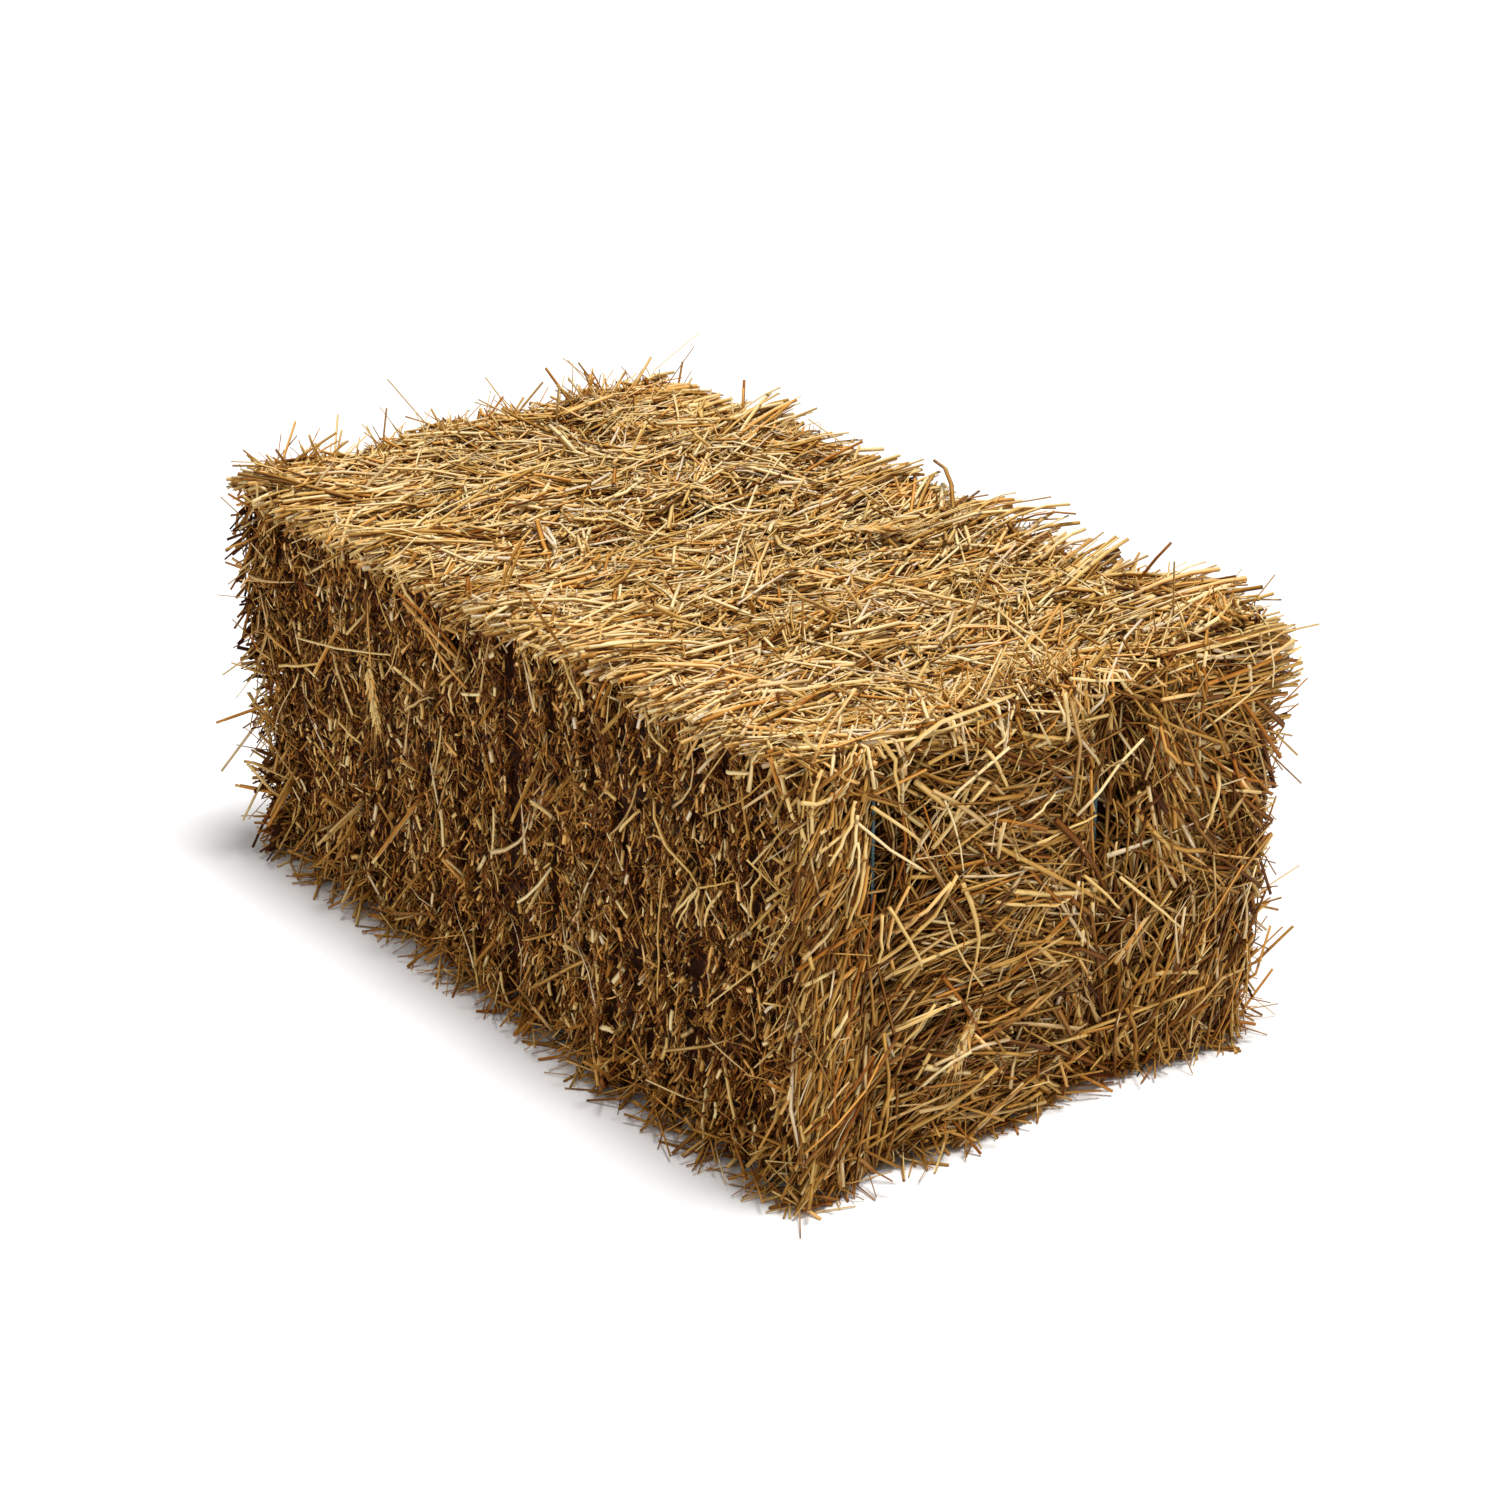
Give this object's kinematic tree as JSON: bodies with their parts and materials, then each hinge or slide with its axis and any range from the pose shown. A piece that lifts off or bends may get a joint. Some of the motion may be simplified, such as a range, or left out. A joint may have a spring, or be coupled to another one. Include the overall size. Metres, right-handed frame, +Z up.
{
  "type": "square hay bale",
  "caption": "Small rectangular two-string bale of golden cereal straw, pressed in flakes and held by two loops of twine, resting flat with its cut side to the front.",
  "frame": {"origin": "on the surface that the bale rests on, under the middle of its bounding box", "axes": "+X along the bale's length towards the near end, -Y towards the cut side and +Y towards the folded side, +Z up"},
  "size_m": [0.8552, 0.5422, 0.4164],
  "materials": {
    "straw": "dry cereal stems, satin along the stem, dull and dusty at the cut ends",
    "twine": "blue-green split-film plastic twine, slightly frayed"
  },
  "bodies": {
    "root": {"flake_01": "straw", "flake_02": "straw", "flake_03": "straw", "flake_04": "straw", "flake_05": "straw", "flake_06": "straw", "flake_07": "straw", "flake_08": "straw", "flake_09": "straw", "flake_10": "straw", "flake_11": "straw", "flake_12": "straw", "flake_13": "straw", "twine_cut_side": "twine", "twine_folded_side": "twine"}
  },
  "joints": []
}
